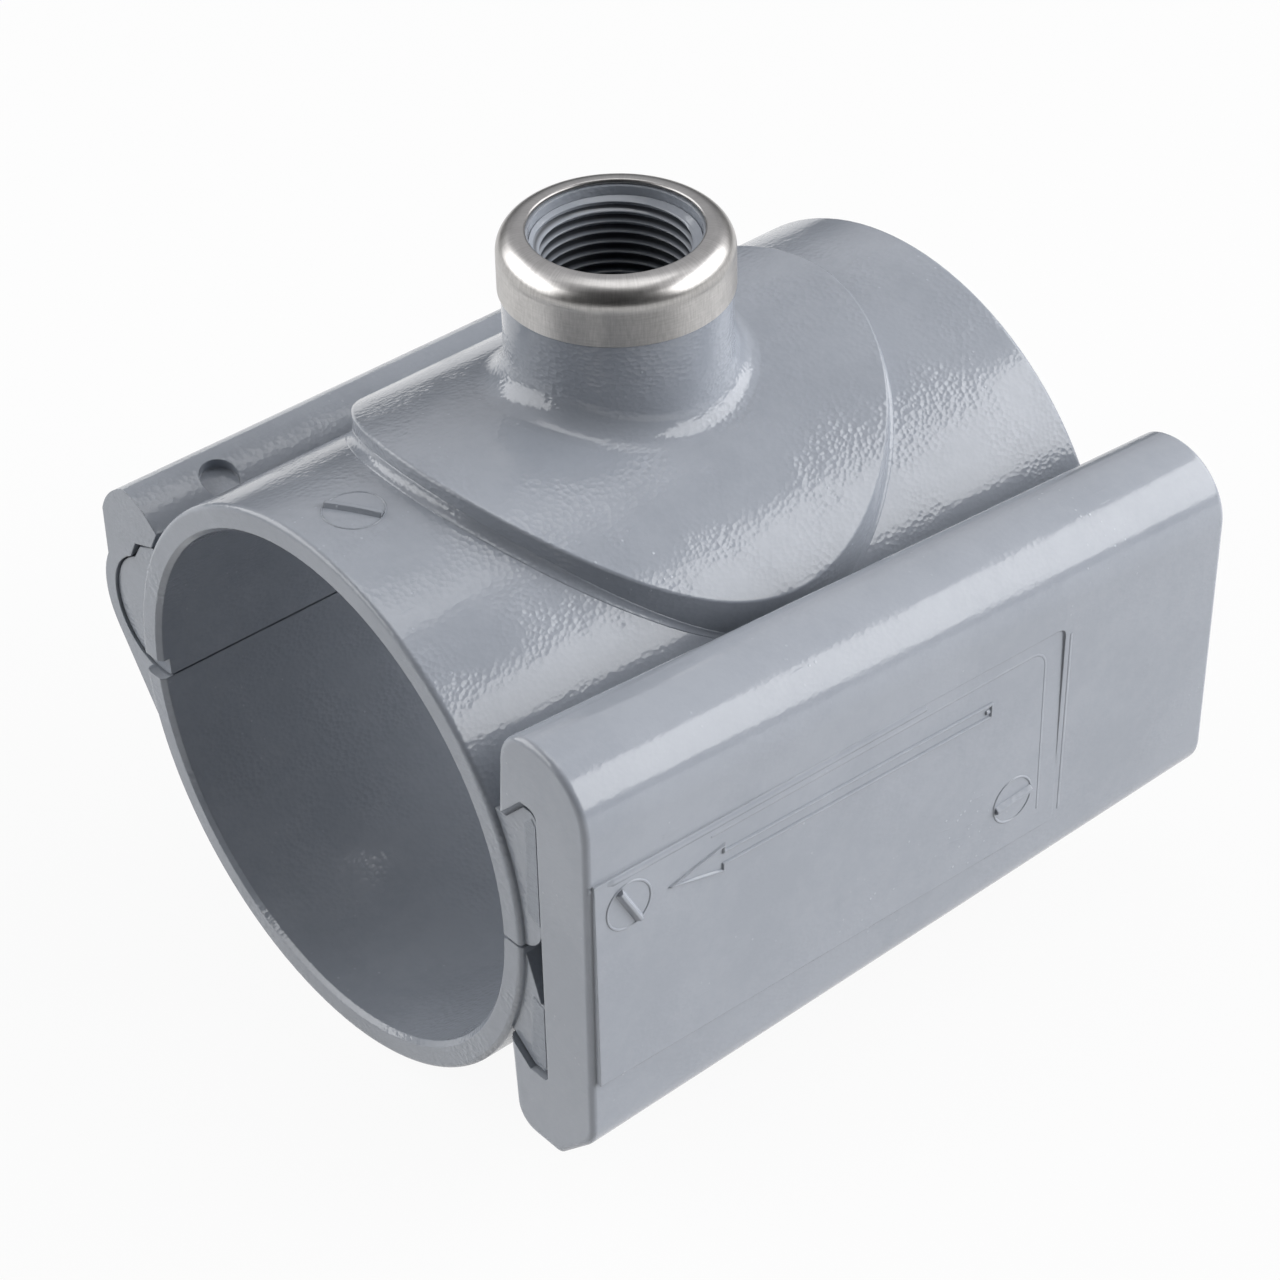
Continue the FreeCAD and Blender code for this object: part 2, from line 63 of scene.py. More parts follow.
class Graph:
    """A material or world node tree with short calls."""

    def __init__(self, tree):
        self.tree = tree
        tree.nodes.clear()

    def node(self, kind, **values):
        made = self.tree.nodes.new(kind)
        for key, value in values.items():
            setattr(made, key, value)
        return made

    def link(self, source, target):
        self.tree.links.new(source, target)

    def put(self, value, socket):
        if hasattr(value, "is_linked"):
            self.link(value, socket)
        else:
            socket.default_value = value

    def math(self, operation, first, second=0.0):
        made = self.node("ShaderNodeMath", operation=operation)
        self.put(first, made.inputs[0])
        self.put(second, made.inputs[1])
        return made.outputs[0]

    def add(self, first, second):
        return self.math("ADD", first, second)

    def times(self, first, second):
        return self.math("MULTIPLY", first, second)

    def span(self, value, low, high, out_low, out_high):
        """A smooth step from one value to another, as an input goes from low to high."""
        made = self.node("ShaderNodeMapRange", interpolation_type="SMOOTHSTEP", clamp=True)
        self.put(value, made.inputs["Value"])
        self.put(low, made.inputs["From Min"])
        self.put(high, made.inputs["From Max"])
        self.put(out_low, made.inputs["To Min"])
        self.put(out_high, made.inputs["To Max"])
        return made.outputs["Result"]

    def noise(self, where, scale, detail=2.0, rough=0.5, warp=0.0):
        made = self.node("ShaderNodeTexNoise")
        self.link(where, made.inputs["Vector"])
        made.inputs["Scale"].default_value = scale
        made.inputs["Detail"].default_value = detail
        made.inputs["Roughness"].default_value = rough
        made.inputs["Distortion"].default_value = warp
        return made.outputs["Fac"]

    def cells(self, where, scale):
        made = self.node("ShaderNodeTexVoronoi")
        self.link(where, made.inputs["Vector"])
        made.inputs["Scale"].default_value = scale
        return made.outputs["Distance"]

    def mix(self, fac, first, second):
        made = self.node("ShaderNodeMix", data_type="RGBA")
        self.put(fac, made.inputs[0])
        self.put(first, made.inputs[6])
        self.put(second, made.inputs[7])
        return made.outputs[2]

    def mix_number(self, fac, first, second):
        made = self.node("ShaderNodeMix", data_type="FLOAT")
        self.put(fac, made.inputs[0])
        self.put(first, made.inputs[2])
        self.put(second, made.inputs[3])
        return made.outputs[0]

    def mix_shader(self, fac, first, second):
        made = self.node("ShaderNodeMixShader")
        self.link(fac, made.inputs[0])
        self.link(first, made.inputs[1])
        self.link(second, made.inputs[2])
        return made.outputs[0]

    def bump(self, height, distance, strength=1.0, normal=None):
        made = self.node("ShaderNodeBump")
        self.put(strength, made.inputs["Strength"])
        made.inputs["Distance"].default_value = distance
        self.link(height, made.inputs["Height"])
        if normal is not None:
            self.link(normal, made.inputs["Normal"])
        return made.outputs["Normal"]

    def vector(self, operation, where, fixed, output="Vector"):
        """A vector sum, product or dot product with a fixed vector."""
        made = self.node("ShaderNodeVectorMath", operation=operation)
        self.link(where, made.inputs[0])
        made.inputs[1].default_value = fixed
        return made.outputs[output]

    def axes(self, where):
        made = self.node("ShaderNodeSeparateXYZ")
        self.link(where, made.inputs[0])
        return made.outputs

    def plane(self, across, up):
        made = self.node("ShaderNodeCombineXYZ")
        self.link(across, made.inputs[0])
        self.link(up, made.inputs[1])
        return made.outputs[0]


def new_material(name):
    """A material with a Principled shader on its output, and its object coordinates."""
    material = bpy.data.materials.new(name)
    material.use_nodes = True
    graph = Graph(material.node_tree)
    shader = graph.node("ShaderNodeBsdfPrincipled")
    graph.link(shader.outputs[0], graph.node("ShaderNodeOutputMaterial").inputs["Surface"])
    where = graph.node("ShaderNodeTexCoord").outputs["Object"]
    return material, graph, shader, where


# Plastic. A scale is in cycles per metre.

PLASTIC_IOR = 1.54
BEVEL_SAMPLES = 4
SEED_STEP = (0.731, 0.417, 0.293)
CLOUD_SCALE = 38.0
MOTTLE_SCALE = 420.0
HANDLED_SCALE = 48.0
SPECK_SCALE = 520.0
SPECK_PALER = 1.7
SPECK_SHARE = 0.30
PATCH_SCALE = 70.0
PATCH_DULLER = 0.055
MOTTLE_DULLER = 0.05
RIPPLE_SCALE = 120.0
RIPPLE_HEIGHT = 0.11 * MM
DIMPLE_SCALE = 1050.0
DIMPLE_SQUEEZE = (1.0, 1.0, 1.4)
DIMPLE_HEIGHT = 0.10 * MM
DIMPLE_LEAST = 0.22
GRAIN_SCALE = 2300.0
GRAIN_HEIGHT = 0.010 * MM
SCRATCH_SCALE = 900.0
SCRATCH_STRETCH = (0.16, 1.0, 1.0)
SCRATCH_HEIGHT = 0.035 * MM
PIT_HEIGHT = 0.045 * MM
# Painted shade in the roots of the outlet's thread: its dark colour, its share, and where it starts and
# stops.
ROOT_SHADE = (0.02, 0.022, 0.026, 1.0)
ROOT_SHADE_SHARE = 0.88
SHADE_STARTS = CREST_RADIUS + 0.12
SHADE_FULL = CREST_RADIUS + 0.75
UNSHADED_FROM = THREAD_TOP - 0.9
SHADED_FROM = THREAD_TOP - 1.3


def root_shade(g, where, tint):
    """Painted shade: darker colour in the roots of the outlet's thread, but none on its chamfer."""
    x, y, height = g.axes(where)
    radius = g.math("SQRT", g.add(g.math("POWER", x, 2.0), g.math("POWER", y, 2.0)))
    below_top = g.math("SUBTRACT", THREAD_TOP * MM, height)
    reach = g.add(radius, g.times(below_top, TAPER))
    root = g.span(reach, SHADE_STARTS * MM, SHADE_FULL * MM, 0.0, ROOT_SHADE_SHARE)
    under_chamfer = g.span(height, SHADED_FROM * MM, UNSHADED_FROM * MM, 1.0, 0.0)
    return g.mix(g.times(root, under_chamfer), tint, ROOT_SHADE)


def plastic(name, greys, seed, sheen, peening, round_over=0.32, shaded_roots=False):
    """Glossy moulded PVC: ripples, peening in patches, scratches, pits and pale specks, and for a thread,
    painted shade in its roots.
    """
    material, g, shader, where = new_material(name)
    colour, darker = greys
    spot = g.vector("ADD", where, tuple(seed * step for step in SEED_STEP))

    cloud = g.noise(spot, CLOUD_SCALE, detail=3.0, rough=0.55)
    mottle = g.noise(spot, MOTTLE_SCALE, detail=4.0, rough=0.65)
    shade = g.add(g.times(cloud, 0.7), g.times(mottle, 0.3))
    tint = g.mix(g.span(shade, 0.36, 0.66, 0.0, 1.0), colour, darker)
    handled = g.span(g.noise(spot, HANDLED_SCALE, detail=3.0, rough=0.65), 0.53, 0.66, 0.0, 1.0)
    speck = g.times(g.span(g.cells(spot, SPECK_SCALE), 0.06, 0.16, 1.0, 0.0), handled)
    pale = tuple(min(1.0, part * SPECK_PALER) for part in colour[:3]) + (1.0,)
    tint = g.mix(g.times(speck, SPECK_SHARE), tint, pale)
    # Painted shade: a thread's roots are coloured darker.
    if shaded_roots:
        tint = root_shade(g, where, tint)
    g.link(tint, shader.inputs["Base Color"])

    patches = g.span(g.noise(spot, PATCH_SCALE, rough=0.55), 0.38, 0.68, 0.0, 1.0)
    rough = g.add(g.add(sheen, g.times(patches, PATCH_DULLER)), g.times(mottle, MOTTLE_DULLER))
    g.link(rough, shader.inputs["Roughness"])
    shader.inputs["IOR"].default_value = PLASTIC_IOR

    edge = g.node("ShaderNodeBevel", samples=BEVEL_SAMPLES)
    edge.inputs["Radius"].default_value = round_over * MM
    swell = g.noise(spot, RIPPLE_SCALE, detail=1.0, rough=0.4)
    ripples = g.bump(swell, RIPPLE_HEIGHT, strength=0.5, normal=edge.outputs[0])
    peen = g.cells(g.vector("MULTIPLY", spot, DIMPLE_SQUEEZE), DIMPLE_SCALE)
    peened = g.times(g.add(DIMPLE_LEAST, g.times(patches, 1 - DIMPLE_LEAST)), peening)
    dimples = g.bump(peen, DIMPLE_HEIGHT, strength=peened, normal=ripples)
    fine = g.noise(spot, GRAIN_SCALE, detail=3.0, rough=0.6)
    grain = g.bump(fine, GRAIN_HEIGHT, strength=0.75, normal=dimples)
    strands = g.noise(g.vector("MULTIPLY", spot, SCRATCH_STRETCH), SCRATCH_SCALE, detail=1.0, warp=0.4)
    scratch = g.span(strands, 0.66, 0.76, 0.0, 1.0)
    scored = g.bump(scratch, SCRATCH_HEIGHT, strength=g.times(handled, 0.8), normal=grain)
    pitted = g.bump(speck, PIT_HEIGHT, strength=0.75, normal=scored)
    g.link(pitted, shader.inputs["Normal"])
    return material


STROKE_SCALE = 2600.0
STROKE_STRETCH = (1.0, 0.22, 1.0)
STROKE_HEIGHT = 0.20 * MM
CLUMP_SCALE = 500.0
CLUMP_HEIGHT = 0.25 * MM


def torn(name, greys):
    """Plastic where a sprue was trimmed off: dull, with short strokes across the face."""
    material, g, shader, where = new_material(name)
    strokes = g.noise(g.vector("MULTIPLY", where, STROKE_STRETCH), STROKE_SCALE, detail=3.0, rough=0.65)
    clumps = g.noise(where, CLUMP_SCALE, rough=0.6)
    g.link(g.mix(g.span(strokes, 0.35, 0.7, 0.0, 1.0), *greys), shader.inputs["Base Color"])
    g.link(g.add(0.30, g.times(clumps, 0.2)), shader.inputs["Roughness"])
    uneven = g.bump(clumps, CLUMP_HEIGHT, strength=0.6)
    g.link(g.bump(strokes, STROKE_HEIGHT, strength=0.9, normal=uneven), shader.inputs["Normal"])
    return material


# Steel

STEEL_DARK = (0.36, 0.350, 0.340, 1.0)
STEEL_LIGHT = (0.52, 0.507, 0.494, 1.0)
# Painted reflection: the ring's flat top is coloured towards a dark grey, from these heights up.
STEEL_TOP_SHADE = (0.10, 0.10, 0.10, 1.0)
TOP_SHADE_SHARE = 0.45
TOP_SHADE_FROM = 77.0 * MM
TOP_SHADE_FULL = 77.8 * MM
SKIRT_FROM = 74.6 * MM
SKIRT_FULL = 73.0 * MM
LINE_SCALE = 62.0
LINE_HEIGHT_SQUEEZE = 7.0
BAND_SCALE = 11.0
BAND_TURN_STRETCH = 0.4
BAND_HEIGHT_SQUEEZE = 300.0
SMEAR_SCALE = 260.0
STEEL_RELIEF = 0.008 * MM


def steel(name):
    """Pressed stainless steel: polished over the rounded top, finely lined down the skirt, with a painted
    dark reflection on the flat top.
    """
    material, g, shader, where = new_material(name)
    shader.inputs["Metallic"].default_value = 1.0
    x, y, height = g.axes(where)
    turn = g.math("ARCTAN2", y, x)
    upright = g.plane(turn, g.times(height, LINE_HEIGHT_SQUEEZE))
    lines = g.noise(upright, LINE_SCALE, detail=5.0, rough=0.7)
    round_it = g.plane(g.times(turn, BAND_TURN_STRETCH), g.times(height, BAND_HEIGHT_SQUEEZE))
    bands = g.noise(round_it, BAND_SCALE, detail=4.0, rough=0.7)
    smears = g.noise(where, SMEAR_SCALE, detail=4.0, rough=0.65)
    skirt = g.span(height, SKIRT_FROM, SKIRT_FULL, 0.0, 1.0)

    tone = g.add(g.times(lines, 0.6), g.times(bands, 0.4))
    metal = g.mix(g.span(tone, 0.30, 0.72, 0.0, 1.0), STEEL_DARK, STEEL_LIGHT)
    # Painted reflection: the flat top is darkened in colour.
    top_shade = g.span(height, TOP_SHADE_FROM, TOP_SHADE_FULL, 0.0, TOP_SHADE_SHARE)
    g.link(g.mix(top_shade, metal, STEEL_TOP_SHADE), shader.inputs["Base Color"])

    polished = g.add(0.25, g.times(smears, 0.12))
    lined = g.add(0.36, g.times(lines, 0.10))
    g.link(g.mix_number(skirt, polished, lined), shader.inputs["Roughness"])
    g.link(g.times(skirt, 0.8), shader.inputs["Anisotropic"])
    shader.inputs["Anisotropic Rotation"].default_value = 0.25
    round_axis = g.node("ShaderNodeTangent", direction_type="RADIAL", axis="Z")
    g.link(round_axis.outputs[0], shader.inputs["Tangent"])
    relief = g.add(g.times(lines, skirt), g.times(bands, 0.12))
    g.link(g.bump(relief, STEEL_RELIEF, strength=0.7), shader.inputs["Normal"])
    return material


# Rubber

RUBBER_DARK = (0.012, 0.012, 0.013, 1.0)
RUBBER_LIGHT = (0.030, 0.030, 0.031, 1.0)
RUBBER_GRAIN_SCALE = 1400.0
RUBBER_GRAIN_HEIGHT = 0.03 * MM


def rubber(name):
    """Matt black rubber with a fine grain."""
    material, g, shader, where = new_material(name)
    grain = g.noise(where, RUBBER_GRAIN_SCALE, detail=3.0, rough=0.6)
    g.link(g.mix(grain, RUBBER_DARK, RUBBER_LIGHT), shader.inputs["Base Color"])
    shader.inputs["Roughness"].default_value = 0.62
    g.link(g.bump(grain, RUBBER_GRAIN_HEIGHT, strength=0.7), shader.inputs["Normal"])
    return material


# Meshes

def mesh_object(name, vertices, faces, material, smooth=True):
    """A mesh in the scene, from points in metres, with its faces turned outward."""
    mesh = bpy.data.meshes.new(name)
    mesh.from_pydata([tuple(v) for v in vertices], [], faces)
    mesh.update()
    turned = bmesh.new()
    turned.from_mesh(mesh)
    bmesh.ops.recalc_face_normals(turned, faces=turned.faces)
    turned.to_mesh(mesh)
    turned.free()
    for polygon in mesh.polygons:
        polygon.use_smooth = smooth
    mesh.materials.append(material)
    made = bpy.data.objects.new(name, mesh)
    bpy.context.scene.collection.objects.link(made)
    return made


def skin(sections, size, closed):
    """Faces between neighbouring sections, each a closed run of as many points."""
    faces = []
    for i in range(sections if closed else sections - 1):
        j = (i + 1) % sections
        for k in range(size):
            m = (k + 1) % size
            faces.append((i * size + k, i * size + m, j * size + m, j * size + k))
    return faces


def on_surface(node, start, aim):
    """Where a ray meets a node of the part, and the normal there, in millimetres."""
    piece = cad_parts[node]
    into = piece.matrix_world.inverted()
    ray = (into.to_3x3() @ Vector(aim)).normalized()
    hit, spot, normal, _ = piece.ray_cast(into @ (Vector(start) * MM), ray)
    if not hit:
        raise ValueError("no surface of " + node + " below " + str(tuple(start)))
    return piece.matrix_world @ spot / MM, (piece.matrix_world.to_3x3() @ normal).normalized()


# A ridge starts a little inside the surface, and its mitres are cut short where it bends sharply.
RIDGE_SUNK = 0.25
SHARPEST_MITRE = 0.45


def ridge(name, node, path, aim, material, width, height, closed=False, crown=0.44):
    """A raised line laid on a node along a path of ray starts. Its crown is the flat top's share of width."""
    laid = [on_surface(node, start, aim) for start in path]
    count = len(laid)
    profile = [(-0.5, -RIDGE_SUNK), (-0.5, 0.0), (-crown / 2, height),
               (crown / 2, height), (0.5, 0.0), (0.5, -RIDGE_SUNK)]
    size = len(profile)
    vertices = []
    for i, (here, normal) in enumerate(laid):
        before = laid[i - 1][0] if closed or i else here
        after = laid[(i + 1) % count][0] if closed or i < count - 1 else here
        back = (here - before).normalized() if i or closed else (after - here).normalized()
        ahead = (after - here).normalized() if closed or i < count - 1 else back
        side_one = normal.cross(back).normalized()
        side_two = normal.cross(ahead).normalized()
        side = (side_one + side_two).normalized()
        side = side / max(SHARPEST_MITRE, side.dot(side_one))
        for across, up in profile:
            vertices.append((here + side * (across * width) + normal * up) * MM)
    faces = skin(count, size, closed)
    if not closed:
        faces.append(tuple(range(size)))
        faces.append(tuple((count - 1) * size + k for k in range(size)))
    return mesh_object(name, vertices, faces, material, smooth=False)


def straight(start, end, steps):
    """Evenly spaced points from one to another."""
    return [Vector(start).lerp(Vector(end), i / steps) for i in range(steps + 1)]


def circle(centre, radius, first, second, steps=48):
    """Points on a circle in the plane of two directions."""
    points = []
    for i in range(steps):
        turn = 2 * math.pi * i / steps
        out = Vector(first) * math.cos(turn) + Vector(second) * math.sin(turn)
        points.append(Vector(centre) + out * radius)
    return points


# The outlet's thread. Lengths here, in the trims and in all relief are in millimetres.

THREAD_ROWS = 346
THREAD_COLUMNS = 144
CREST_SHARE = 0.10
FLANK_SHARE = 0.74
CHAMFER_HEIGHT = 0.75
CHAMFER_INNER = 12.25
CHAMFER_GAP = 0.1
CHAMFER_FROM = 0.12
LINER_WALL = 13.5


def thread_radius(height, turn):
    """Inner radius of the thread at a height and an angle."""
    narrowed = (THREAD_TOP - height) * TAPER
    phase = ((height + THREAD_PHASE) / THREAD_PITCH - turn / (2 * math.pi)) % 1.0
    away = abs(phase - 0.5) * 2
    flank = min(1.0, max(0.0, (away - CREST_SHARE) / FLANK_SHARE))
    cut = CREST_RADIUS - narrowed + THREAD_DEPTH * flank
    up = (height - (THREAD_TOP - CHAMFER_HEIGHT)) / CHAMFER_HEIGHT
    if up <= CHAMFER_FROM:
        return cut
    return max(cut, CHAMFER_INNER + up * (LINER_WALL - CHAMFER_GAP - CHAMFER_INNER))


def thread():
    """The tapered pipe thread inside the outlet, as one closed sleeve."""
    vertices = []

    def add_ring(height, radius_at):
        for column in range(THREAD_COLUMNS):
            turn = 2 * math.pi * column / THREAD_COLUMNS
            radius = radius_at(height, turn)
            vertices.append(Vector((radius * math.cos(turn), radius * math.sin(turn), height)) * MM)

    for row in range(THREAD_ROWS + 1):
        add_ring(THREAD_BOTTOM + (THREAD_TOP - THREAD_BOTTOM) * row / THREAD_ROWS, thread_radius)
    for height in (THREAD_TOP, THREAD_BOTTOM):
        add_ring(height, lambda height, turn: LINER_WALL)
    faces = skin(THREAD_ROWS + 3, THREAD_COLUMNS, True)
    return mesh_object("outlet_thread", vertices, faces, thread_plastic)


# Relief on the wedge. Paths start in front of the panel and are laid back onto it.

FRONT = 80.0
INTO_PANEL = (0.0, 1.0, 0.0)
ALONG = (1.0, 0.0, 0.0)
UPWARD = (0.0, 0.0, 1.0)

ARROW_TAIL = Vector((18.4, -FRONT, 11.75))
ARROW_TIP = Vector((-47.9, -FRONT, 14.05))
ARROW_NECK = 0.845
SHAFT_HALF = 1.2
HEAD_HALF = 2.4
ARROW_STEP = 6.0


def arrow():
    """The raised outline of the arrow that shows which way the wedge is driven."""
    axis = (ARROW_TIP - ARROW_TAIL).normalized()
    side = Vector((axis.z, 0.0, -axis.x))
    length = (ARROW_TIP - ARROW_TAIL).length

    def along(share, above):
        return ARROW_TAIL + axis * (share * length) + side * above

    outline = [along(0.0, -SHAFT_HALF), along(ARROW_NECK, -SHAFT_HALF), along(ARROW_NECK, -HEAD_HALF),
               along(1.0, 0.0), along(ARROW_NECK, HEAD_HALF), along(ARROW_NECK, SHAFT_HALF),
               along(0.0, SHAFT_HALF)]
    corners = []
    for here, after in zip(outline, outline[1:] + outline[:1]):
        steps = max(1, round((after - here).length / ARROW_STEP))
        corners += straight(here, after, steps)[:-1]
    raised = ridge("drive_arrow", "locking_wedge", corners, INTO_PANEL, wedge_plastic,
                   width=0.62, height=0.34, closed=True)
    stop = ridge("arrow_tail", "locking_wedge", [along(0.006, 0.0), along(0.018, 0.0)], INTO_PANEL,
                 wedge_plastic, width=0.9, height=0.30)
    return [raised, stop]


MARK_RADIUS = 4.2
MARK_BAR_SHARE = 0.95


def panel_mark(name, station, height, lean):
    """A moulding mark on the panel: a low ring with a bar across it."""
    centre = Vector((station, -FRONT, height))
    ring = ridge(name + "_ring", "locking_wedge", circle(centre, MARK_RADIUS, ALONG, UPWARD), INTO_PANEL,
                 wedge_plastic, width=0.5, height=0.14, closed=True)
    tilt = math.radians(lean)
    reach = Vector((math.cos(tilt), 0.0, math.sin(tilt))) * MARK_RADIUS * MARK_BAR_SHARE
    bar = ridge(name + "_bar", "locking_wedge", [centre - reach, centre + reach], INTO_PANEL,
                wedge_plastic, width=1.6, height=0.8, crown=0.3)
    return [ring, bar]


BORDER_START = -40.0
BORDER_FAR = 30.4
BORDER_HIGH = 17.6
BORDER_LOW = -15.0
BORDER_RISE = 1.4
BORDER_CORNER = 3.0
BORDER_TURNS = (0.39, 0.79, 1.18)


def panel_border():
    """The faint line that runs inside the panel's top and far edges."""
    corner_x = BORDER_FAR - BORDER_CORNER
    corner_z = BORDER_HIGH - BORDER_CORNER
    start = (BORDER_START, -FRONT, BORDER_HIGH + BORDER_RISE)
    path = straight(start, (corner_x, -FRONT, BORDER_HIGH), steps=10)
    for turn in BORDER_TURNS:
        x = corner_x + BORDER_CORNER * math.sin(turn)
        z = corner_z + BORDER_CORNER * math.cos(turn)
        path.append(Vector((x, -FRONT, z)))
    path += straight((BORDER_FAR, -FRONT, corner_z), (BORDER_FAR, -FRONT, BORDER_LOW), steps=6)
    return ridge("panel_border", "locking_wedge", path, INTO_PANEL, wedge_plastic, width=0.50, height=0.035)


BROW_START = (-63.0, -FRONT, 21.25)
BROW_END = (4.0, -FRONT, 19.85)
EDGE_TOP = (35.6, -FRONT, 18.4)
EDGE_FOOT = (35.6, -FRONT, -18.0)


def panel_brow():
    """The soft upper edge of the panel where it stands proud."""
    return ridge("panel_brow", "locking_wedge", straight(BROW_START, BROW_END, steps=16), INTO_PANEL,
                 wedge_plastic, width=1.5, height=0.22, crown=0.3)


def panel_edge():
    """The thin raised line just outside the panel's far edge."""
    return ridge("panel_edge", "locking_wedge", straight(EDGE_TOP, EDGE_FOOT, steps=12), INTO_PANEL,
                 wedge_plastic, width=0.60, height=0.06, crown=0.2)


# Relief on the saddle

SHELL_MARK_CENTRE = Vector((-52.7, 0.5, 80.0))
SHELL_MARK_RADIUS = 4.9
SHELL_MARK_HALF_BAR = Vector((2.4, -4.05, 0.0))
ACROSS = (0.0, 1.0, 0.0)
DOWNWARD = (0.0, 0.0, -1.0)


def shell_mark():
    """The round mark on top of the shell, with its pointer bar."""
    round_it = circle(SHELL_MARK_CENTRE, SHELL_MARK_RADIUS, ALONG, ACROSS, steps=64)
    ring = ridge("shell_mark_ring", "upper_saddle", round_it, DOWNWARD, saddle_plastic,
                 width=0.34, height=0.13, closed=True)
    start = SHELL_MARK_CENTRE - SHELL_MARK_HALF_BAR
    end = SHELL_MARK_CENTRE + SHELL_MARK_HALF_BAR
    bar = ridge("shell_mark_bar", "upper_saddle", straight(start, end, steps=6), DOWNWARD, saddle_plastic,
                width=1.5, height=0.75, crown=0.5)
    return [ring, bar]


PAD_RADIUS = 42.75
SHELL_RADIUS = 49.3
FOOT_RADIUS = 1.7
FOOT_SUNK = 0.4
FOOT_TURNS = 240
FOOT_STEPS = 7


def pad_foot():
    """The concave fillet where the pad's wall meets the shell."""
    backing = FOOT_RADIUS + FOOT_SUNK
    vertices = []
    for i in range(FOOT_TURNS):
        angle = 2 * math.pi * i / FOOT_TURNS
        out = Vector((math.cos(angle), math.sin(angle), 0.0))
        plan = out * (PAD_RADIUS + FOOT_RADIUS)
        centre = Vector((plan.x, plan.y, math.sqrt((SHELL_RADIUS + FOOT_RADIUS) ** 2 - plan.y ** 2)))
        down = -Vector((0.0, centre.y, centre.z)).normalized()
        arc = [(-out).slerp(down, step / FOOT_STEPS) * FOOT_RADIUS for step in range(FOOT_STEPS + 1)]
        section = arc + [down * backing, (down - out) * backing, -out * backing]
        vertices += [(centre + offset) * MM for offset in section]
    return mesh_object("pad_foot", vertices, skin(FOOT_TURNS, FOOT_STEPS + 4, True), saddle_plastic)


FLANGE_END = -62.4
TRIM_LAYERS = ((-0.1, 0.0), (0.04, 0.0), (0.12, 0.25))
UPPER_TRIM = [(50.4, 7.0), (53.05, 6.0), (53.05, 25.4), (52.2, 26.6), (50.6, 25.0)]
LOWER_TRIM = [(49.6, -21.5), (52.6, -23.4), (53.05, -22.8), (53.05, -10.6), (50.6, -9.6)]


def trimmed_edge(name, section):
    """The torn skin on a flange's end: a thin bevelled plate, outlined by its reach and height."""
    middle = sum((Vector(p) for p in section), Vector((0.0, 0.0))) / len(section)
    vertices = []
    for lift, inset in TRIM_LAYERS:
        for corner in section:
            spot = Vector(corner) + (middle - Vector(corner)).normalized() * inset
            vertices.append(Vector((FLANGE_END - lift, -spot.x, spot.y)) * MM)
    size = len(section)
    layers = len(TRIM_LAYERS)
    top = tuple((layers - 1) * size + k for k in range(size))
    return mesh_object(name, vertices, [top] + skin(layers, size, False), trimmed_plastic, smooth=False)


# Materials and pieces

SADDLE_GREYS = ((0.262, 0.283, 0.319, 1.0), (0.230, 0.250, 0.284, 1.0))
WEDGE_GREYS = ((0.296, 0.317, 0.355, 1.0), (0.268, 0.289, 0.326, 1.0))
saddle_plastic = plastic("saddle_plastic", SADDLE_GREYS, seed=1.0, sheen=0.08, peening=1.0)
# The thread's plastic has painted shade in its roots.
thread_plastic = plastic("thread_plastic", SADDLE_GREYS, seed=1.0, sheen=0.06, peening=0.15,
                         round_over=0.05, shaded_roots=True)
wedge_plastic = plastic("wedge_plastic", WEDGE_GREYS, seed=2.0, sheen=0.06, peening=0.25)
trimmed_plastic = torn("trimmed_plastic", SADDLE_GREYS)
ring_steel = steel("ring_steel")
seal_rubber = rubber("seal_rubber")

DRESS = {
    "upper_saddle": (saddle_plastic, "saddle_plastic"),
    "lower_saddle": (saddle_plastic, "saddle_plastic"),
    "locking_wedge": (wedge_plastic, "wedge_plastic"),
    "outlet_ring": (ring_steel, "ring_steel"),
    "seal_ring": (seal_rubber, "seal_rubber"),
}
for node, (material, slot) in DRESS.items():
    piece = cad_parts[node]
    piece.data.materials.clear()
    piece.data.materials.append(material)

on_saddle = [thread(), pad_foot()]
on_saddle += shell_mark()
on_saddle.append(trimmed_edge("upper_trim", UPPER_TRIM))
on_saddle.append(trimmed_edge("lower_trim", LOWER_TRIM))
for piece in on_saddle:
    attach(piece, "saddle")

on_wedge = arrow()
on_wedge += panel_mark("left_mark", -56.0, 15.2, lean=-62)
on_wedge += panel_mark("right_mark", 24.5, -9.9, lean=4)
on_wedge += [panel_border(), panel_brow(), panel_edge()]
for piece in on_wedge:
    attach(piece, "wedge")


# Floor. Lengths from here on are in metres.

FLOOR_GREY = (0.58, 0.58, 0.58, 1.0)
FLOOR_PALER = (0.9, 0.9, 0.9, 1.0)
FLOOR_CLOUD_SCALE = 6.0
FLOOR_CLOUDS = 0.08
FLOOR_GLOW = 0.93
FLOOR_HEIGHT = cad_low.z - 0.4 * MM
FLOOR_REACH = 0.85
WHITE = (1.0, 1.0, 1.0, 1.0)


def shown(g):
    """One for the rays that show the backdrop: to the camera, in gloss and through glass."""
    rays = g.node("ShaderNodeLightPath")
    seen = g.math("MAXIMUM", rays.outputs["Is Camera Ray"], rays.outputs["Is Glossy Ray"])
    return g.math("MAXIMUM", seen, rays.outputs["Is Transmission Ray"])


def stage_material(name):
    """Pale and matt, whiter where it is shown, and still shaded under the object."""
    material, g, shader, where = new_material(name)
    shader.inputs["Roughness"].default_value = 0.9
    clouds = g.noise(where, FLOOR_CLOUD_SCALE)
    g.link(g.mix(g.times(clouds, FLOOR_CLOUDS), FLOOR_GREY, FLOOR_PALER), shader.inputs["Base Color"])
    glow = g.node("ShaderNodeEmission")
    glow.inputs[0].default_value = WHITE
    blend = g.mix_shader(g.times(shown(g), FLOOR_GLOW), shader.outputs[0], glow.outputs[0])
    g.link(blend, g.tree.get_output_node("ALL").inputs["Surface"])
    return material


